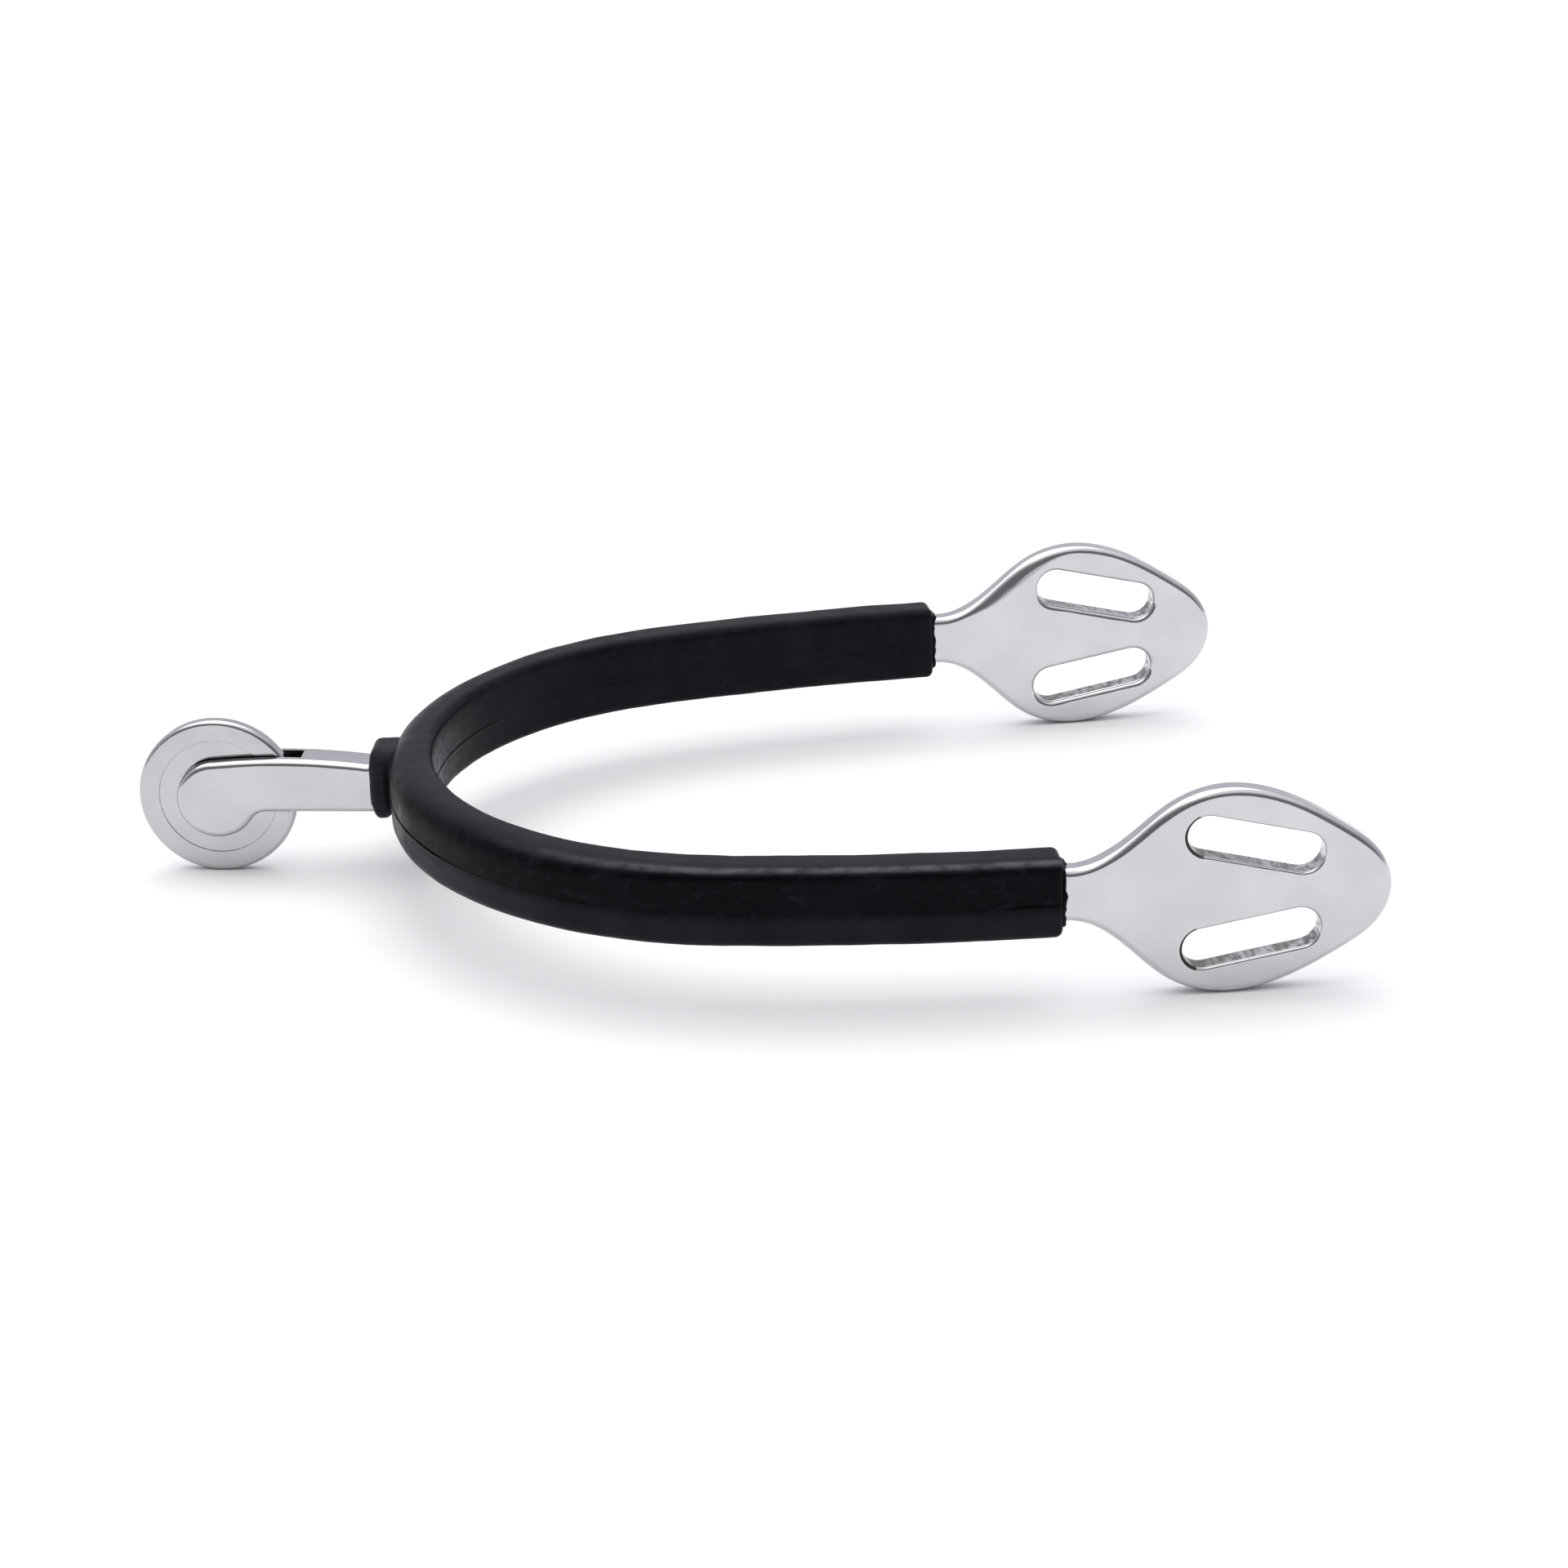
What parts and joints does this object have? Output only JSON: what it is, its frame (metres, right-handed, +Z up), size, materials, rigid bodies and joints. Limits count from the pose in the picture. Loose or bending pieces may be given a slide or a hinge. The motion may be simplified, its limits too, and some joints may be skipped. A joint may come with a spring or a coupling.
{
  "type": "riding spur",
  "caption": "English riding spur: a U-shaped rubber-covered steel heel band with slotted eyelet plates and a neck whose fork holds a smooth disc rowel.",
  "frame": {"origin": "on the ground, under the middle of the part's bounding box", "axes": "+X from the rowel to the tips of the eyelets, +Y from the near arm to the far arm, +Z up"},
  "size_m": [0.1443, 0.0954, 0.0253],
  "materials": {
    "polished_steel": "polished stainless steel",
    "rowel_steel": "fine-turned and polished stainless steel",
    "black_rubber": "satin moulded rubber"
  },
  "bodies": {
    "spur": {"heel_band": "polished_steel", "near_eyelet_plate": "polished_steel", "far_eyelet_plate": "polished_steel", "forked_neck": "polished_steel", "rowel_rivet": "rowel_steel", "rubber_sleeve": "black_rubber", "neck_collar": "black_rubber"},
    "rowel": {"rowel_disc": "rowel_steel"}
  },
  "joints": [
    {"name": "rowel_spin", "type": "hinge", "parent": "spur", "child": "rowel", "pos_m": [-0.06227, 0.01208, 0.01], "axis": [-0.1822, -0.9833, 0], "continuous": true}
  ]
}
